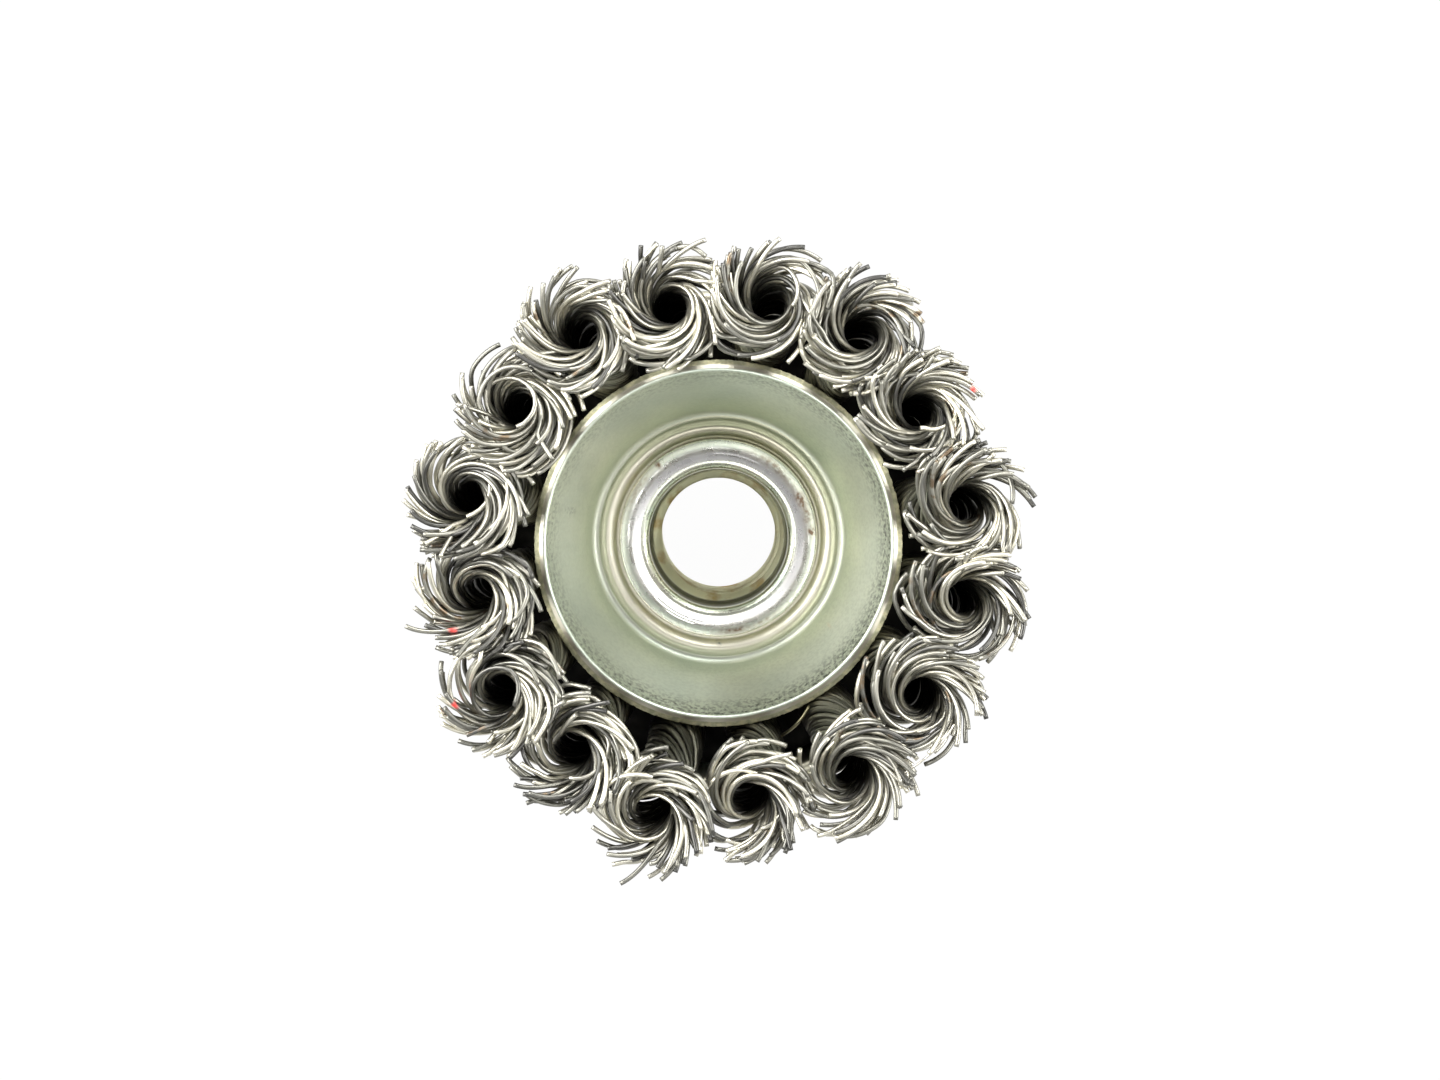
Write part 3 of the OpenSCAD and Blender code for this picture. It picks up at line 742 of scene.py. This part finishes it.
def wire_paths(i):
    """Middle lines of one knot's wires. Round the stem all wires turn at one rate. In the rose a
    wire's heading, the angle between it and the circle round the knot, grows from about a
    seventh to about a third of a right angle: radius adds up its sine, and the angle round the
    knot adds up its cosine over the radius. The height rises ever more slowly. The rose tips a
    little outward with the stem, and where neighbours meet, the wires of one pass over those of
    the next. Random ends, kinks and heights are seeded."""
    rng = np.random.default_rng(100 + i)
    layer = np.repeat(np.arange(3), LAYER_WIRES)
    wires = len(layer)
    phase = np.concatenate([np.arange(n) * 2 * np.pi / n for n in LAYER_WIRES])
    phase = phase + rng.normal(0.0, 0.1, wires) + layer * 0.7 + i
    start_r = np.take(LAYER_R, layer) + rng.normal(0.0, 0.05, wires)

    s = np.linspace(0.0, 1.0, ROSE_STEPS)[None, :]
    short = np.where(rng.random(wires) < SHORT_SHARE, rng.uniform(*SHORT_BY, wires), 0.0)
    reach = np.take(LAYER_REACH, layer) + rng.normal(0.0, 0.28, wires) - short
    first = np.radians(np.take(LAYER_FIRST, layer) + rng.normal(0.0, 4.5, wires))
    last = np.radians(np.take(LAYER_LAST, layer) + rng.normal(0.0, 9.0, wires))
    heading = first[:, None] + (last - first)[:, None] * s ** 0.8
    kink_at = rng.uniform(0.35, 0.85, wires)[:, None]
    kinked = rng.random(wires) < KINKED_SHARE
    kink = np.radians(np.where(kinked, rng.normal(0.0, KINK_SPREAD, wires), 0.0))
    heading = heading + kink[:, None] * smooth(0.0, 0.12, s - kink_at)
    step = step_length(reach, start_r, heading)
    outward = math.radians(KNOT_TURN + 360.0 * i / KNOTS)
    rose_z = ROSE_Z - np.take(LAYER_START, layer)
    stem_turn = (rose_z - RING_TOP_Z) * TURN_RATE
    rose_r = start_r[:, None] + np.cumsum(np.sin(heading) * step, axis=1)
    turned = np.cumsum(np.cos(heading) * step / rose_r, axis=1)
    facing = np.cos(phase[:, None] - stem_turn[:, None] - turned - outward)
    heading = heading + FLUNG_OUT * facing * smooth(0.1, 0.9, s)
    reach = reach * (1.0 - TRIMMED * facing[:, -1])
    step = step_length(reach, start_r, heading)
    rose_r = np.maximum(start_r[:, None] + np.cumsum(np.sin(heading) * step, axis=1), HOLLOW_R)
    turned = np.cumsum(np.cos(heading) * step / rose_r, axis=1)
    drop = np.take(LAYER_DROP, layer) + rng.uniform(0.0, 0.5, wires)
    rise = (TIP_Z - rose_z - drop)[:, None] * (1.75 * s - 0.75 * s * s)
    rise = rise + rng.normal(0.0, 0.35, wires)[:, None] * smooth(0.1, 0.7, s)

    climbed = np.linspace(0.0, 1.0, STEM_STEPS)[None, :-1]
    stem_z = RING_TOP_Z - 0.4 + (rose_z[:, None] - RING_TOP_Z + 0.4) * climbed
    foot = smooth(RING_TOP_Z - 0.4, RING_TOP_Z + 1.6, stem_z)
    z = np.concatenate([stem_z, rose_z[:, None] + rise], axis=1)
    r = np.concatenate([start_r[:, None] * (0.72 + 0.28 * foot), rose_r], axis=1)
    turn = np.concatenate([(stem_z - RING_TOP_Z) * TURN_RATE, stem_turn[:, None] + turned], axis=1)
    angle = phase[:, None] - turn

    late = np.concatenate([np.zeros(stem_z.shape[1]), smooth(0.45, 1.0, s[0])])
    for degrees, extra in STRAYS.get(i, ()):
        away = np.cos(angle[:, -1] - math.radians(degrees)) * (layer == 0)
        r[np.argmax(away)] += extra * late
    middle_z = np.minimum(z, ROSE_Z + MOUTH_H)
    ahead, behind = rooms_beside(i, middle_z, angle)
    room = np.minimum(ahead, behind)
    over = np.maximum(r - ROOM_KEPT * room, 0.0)
    held = ROOM_SOFT * room * (1.0 - np.exp(-over / (ROOM_SOFT * room)))
    r = np.minimum(r, ROOM_KEPT * room + held)
    crossing = smooth(0.75, 1.15, r / room) * np.where(ahead < behind, CROSS_OVER, -CROSS_UNDER)
    x, y = knot_middle(i, middle_z)
    dip = 0.5 * math.tan(LEAN) * (r * np.cos(angle - outward) + ROSE_R) * smooth(ROSE_Z, TIP_Z, z)
    z = np.minimum(z + crossing - dip, TIP_Z)
    side = np.stack([np.cos(angle), np.sin(angle), np.zeros_like(angle)], axis=-1)
    return np.stack([x + r * np.cos(angle), y + r * np.sin(angle), z], axis=-1), side


def make_knot(i):
    """One knot's wires as tubes, with a tone for each wire, painted shade that grows down the stem
    and into the hollow, and paint on tips that lie near a speck."""
    path, side = wire_paths(i)
    wires, steps = path.shape[:2]
    points = tube_points(path, WIRE_R, WIRE_SIDES, side)
    quads, caps = tube_faces(wires, steps, WIRE_SIDES)
    knot = mesh_piece(f"wires_{i + 1:02d}", points.reshape(-1, 3), quads, caps)
    rng = np.random.default_rng(500 + i)
    add_attribute(knot, "tone", np.repeat(rng.random(wires), steps * WIRE_SIDES))
    add_attribute(knot, "rust", np.repeat(rng.random(wires) < RUSTY_SHARE, steps * WIRE_SIDES))
    layer = np.repeat(np.arange(3), LAYER_WIRES)[:, None, None]
    # Painted shade: the outer layers darken down the stem, and the inner layer darkens into the
    # hollow
    depth = 0.75 * (1.0 - smooth(RIM_Z + 4.0, ROSE_Z + 1.5, points[..., 2]))
    hollow = 1.0 - smooth(ROSE_Z - 1.5, ROSE_Z + 1.2, points[..., 2])
    add_attribute(knot, "painted_shade", np.where(layer == 0, hollow, depth))
    paint = np.zeros(depth.shape)
    for x, y in PAINT_SPECKS:
        apart = np.hypot(points[..., 0] - x, points[..., 1] - y)
        paint = np.maximum(paint, (1.0 - smooth(0.2, 0.4, apart)) * (points[..., 2] > ROSE_Z + 2.5))
    add_attribute(knot, "paint", paint)
    return knot


def wire_material():
    """Tone by wire, tarnish and rust by noise, painted shade down the stem, and a rougher skin
    where the tarnish lies."""
    material, tree, shader = new_material("wire_steel", WIRE_PALE, 0.3, 1.0)
    tarnish = noise_node(tree, 420.0, 3.0)
    tone = math_node(tree, "MULTIPLY", attribute_node(tree, "tone"), 0.75)
    shade = math_node(tree, "ADD", tone, math_node(tree, "MULTIPLY", tarnish, 0.3))
    tones = [(0.2, WIRE_DARK), (0.42, WIRE_GREY), (0.66, WIRE_PALE), (0.88, WIRE_CREAM)]
    colour = ramp_node(tree, shade, tones)
    spots = range_node(tree, noise_node(tree, 900.0, 3.0), 0.5, 0.62)
    rusty = math_node(tree, "MULTIPLY", attribute_node(tree, "rust"), spots)
    colour = mix_colours(tree, rusty, colour, WIRE_RUST)
    # Painted shade, nearly black at its strongest
    painted_shade_mix = range_node(tree, attribute_node(tree, "painted_shade"), 0.0, 1.0, 0.0, 0.97)
    colour = mix_colours(tree, painted_shade_mix, colour, WIRE_PAINTED_SHADE)
    paint = attribute_node(tree, "paint")
    tree.links.new(mix_colours(tree, paint, colour, RED_PAINT), shader.inputs["Base Color"])
    tree.links.new(math_node(tree, "SUBTRACT", 1.0, paint), shader.inputs["Metallic"])
    tree.links.new(range_node(tree, tarnish, 0.3, 0.7, 0.3, 0.46), shader.inputs["Roughness"])
    add_bump(tree, shader, noise_node(tree, 2600.0), 0.00001, 0.3)
    return material


wire_steel = wire_material()
for i in range(KNOTS):
    knot = make_knot(i)
    knot.data.materials.append(wire_steel)
    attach(knot, "root")
    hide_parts(f"knot_{i + 1:02d}")

# Stray wires
# Two thin wires have sprung out of their knots: an olive one lies against the dish's rim, and a
# pale one bows round the outside from one rose to the next.
STRAY_STEPS = 28
STRAY_SIDES = 8
# Each as (name, radius, colour, the four corners of its curve)
STRAY_WIRES = [
    ("stray_olive", 0.17, (0.3, 0.28, 0.17),
     [(9.3, -16.75, 23.35), (8.2, -18.9, 24.6), (6.4, -19.9, 22.5), (5.6, -20.6, 19.0)]),
    ("stray_pale", 0.11, (0.8, 0.76, 0.66),
     [(23.6, -17.0, 40.3), (22.6, -19.0, 40.6), (20.6, -20.8, 40.4), (17.9, -22.4, 39.8)]),
]


def stray_curve(corners, count):
    """Points of the cubic curve of four corners: each weighs in by Bernstein's polynomials."""
    t = np.linspace(0.0, 1.0, count)[:, None]
    p = np.array(corners)
    near = (1 - t) ** 3 * p[0] + 3 * t * (1 - t) ** 2 * p[1]
    return near + 3 * t * t * (1 - t) * p[2] + t ** 3 * p[3]


for name, radius, colour, corners in STRAY_WIRES:
    path = stray_curve(corners, STRAY_STEPS)[None]
    reference = np.broadcast_to(np.array([0.3, 0.2, 1.0]), path.shape)
    quads, caps = tube_faces(1, STRAY_STEPS, STRAY_SIDES)
    points = tube_points(path, radius, STRAY_SIDES, reference)
    stray = mesh_piece(name, points.reshape(-1, 3), quads, caps)
    material, tree, shader = new_material(name, colour, 0.35, 1.0)
    worn = tuple(0.55 * c for c in colour)
    mottled = mix_colours(tree, noise_node(tree, 700.0, 3.0), colour, worn)
    tree.links.new(mottled, shader.inputs["Base Color"])
    stray.data.materials.append(material)
    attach(stray, "root")

# Floor, light and camera
# The brush stands on a white floor under soft lights at the left, right and back and two weak
# ones overhead. The camera looks down on the wire tips from a little behind the brush's axis.
CAMERA_DISTANCE = 0.7
TILT = 3.7
FOCAL_PX = 6650.0
HOLE_PX = (718.5, 532.3)
HOLE_Z = 5.0
IMAGE_PX = (1440, 1080)
SENSOR = 36.0
FLOOR_HALF = 900.0
FLOOR_DROP = 0.02
FLOOR_SHOWN = 0.97
AIM = (0.0, 0.0, 0.025)
# The surround's light as (sine of the height in the sky, strength)
SURROUND = [(0.0, 1.25), (0.3, 0.85), (0.55, 0.12), (1.0, 0.4)]


def make_floor():
    """A large square whose material shows white to the camera and keeps a faint shadow."""
    corners = np.array([[-1, -1, 0], [1, -1, 0], [1, 1, 0], [-1, 1, 0]])
    floor = mesh_piece("floor", corners * FLOOR_HALF - [0, 0, FLOOR_DROP], np.array([[0, 1, 2, 3]]))
    material = bpy.data.materials.new("floor_white")
    material.use_nodes = True
    tree = material.node_tree
    tree.nodes.clear()
    output = tree.nodes.new("ShaderNodeOutputMaterial")
    diffuse = add_node(tree, "ShaderNodeBsdfDiffuse", inputs={"Color": (0.9, 0.9, 0.9, 1.0)})
    white = {"Color": (1.0, 1.0, 1.0, 1.0), "Strength": 1.0}
    shown = add_node(tree, "ShaderNodeEmission", inputs=white)
    path = tree.nodes.new("ShaderNodeLightPath")
    seen = math_node(tree, "MAXIMUM", path.outputs["Is Camera Ray"], path.outputs["Is Glossy Ray"])
    seen = math_node(tree, "MAXIMUM", seen, path.outputs["Is Transmission Ray"])
    mix = tree.nodes.new("ShaderNodeMixShader")
    tree.links.new(math_node(tree, "MULTIPLY", seen, FLOOR_SHOWN), mix.inputs[0])
    tree.links.new(diffuse.outputs[0], mix.inputs[1])
    tree.links.new(shown.outputs[0], mix.inputs[2])
    tree.links.new(mix.outputs[0], output.inputs[0])
    floor.data.materials.append(material)


def make_lamp(name, place, size, watts):
    """A square soft lamp that faces the middle of the brush."""
    data = bpy.data.lights.new(name, "AREA")
    data.size = size
    data.energy = watts
    lamp = bpy.data.objects.new(name, data)
    lamp.location = place
    aim = Vector(AIM) - Vector(place)
    lamp.rotation_euler = aim.to_track_quat("-Z", "Y").to_euler()
    bpy.context.scene.collection.objects.link(lamp)


def make_world():
    """A pale surround, brightest at the horizon, where the white floor would go on."""
    world = bpy.data.worlds.new("studio")
    world.use_nodes = True
    tree = world.node_tree
    place = tree.nodes.new("ShaderNodeTexCoord")
    split = tree.nodes.new("ShaderNodeSeparateXYZ")
    tree.links.new(place.outputs["Generated"], split.inputs[0])
    greys = [(height, (level, level, level)) for height, level in SURROUND]
    sky = ramp_node(tree, split.outputs["Z"], greys)
    tree.links.new(sky, tree.nodes["Background"].inputs["Color"])
    bpy.context.scene.world = world


def make_camera():
    """A long lens above the brush. Its tilt brings near rims down in the picture, as the photo
    shows, and it is moved across so that the hole falls where the photo has it."""
    data = bpy.data.cameras.new("camera")
    data.sensor_width = SENSOR
    data.lens = FOCAL_PX / IMAGE_PX[0] * SENSOR
    camera = bpy.data.objects.new("camera", data)
    tilt = math.radians(TILT)
    back = Vector((0.0, math.sin(tilt), math.cos(tilt)))
    up = Vector((0.0, math.cos(tilt), -math.sin(tilt)))
    per_px = CAMERA_DISTANCE / FOCAL_PX
    across = (IMAGE_PX[0] / 2 - HOLE_PX[0]) * per_px
    down = (HOLE_PX[1] - IMAGE_PX[1] / 2) * per_px
    hole = Vector((0.0, 0.0, HOLE_Z * MM))
    camera.location = hole + back * CAMERA_DISTANCE + Vector((across, 0.0, 0.0)) + up * down
    camera.rotation_euler = (-tilt, 0.0, 0.0)
    bpy.context.scene.collection.objects.link(camera)
    bpy.context.scene.camera = camera


make_floor()
make_lamp("left", (-0.76, 0.1, 0.5), 0.6, 10.0)
make_lamp("left_back", (-0.54, 0.54, 0.5), 0.5, 6.5)
make_lamp("back", (0.25, 0.72, 0.5), 0.5, 7.2)
make_lamp("right", (0.76, 0.0, 0.5), 0.5, 6.5)
make_lamp("front_high", (-0.2, -0.28, 0.84), 0.4, 2.6)
make_lamp("right_high", (0.3, -0.28, 0.8), 0.3, 0.8)
make_world()
make_camera()
bpy.context.scene.view_settings.view_transform = "Standard"
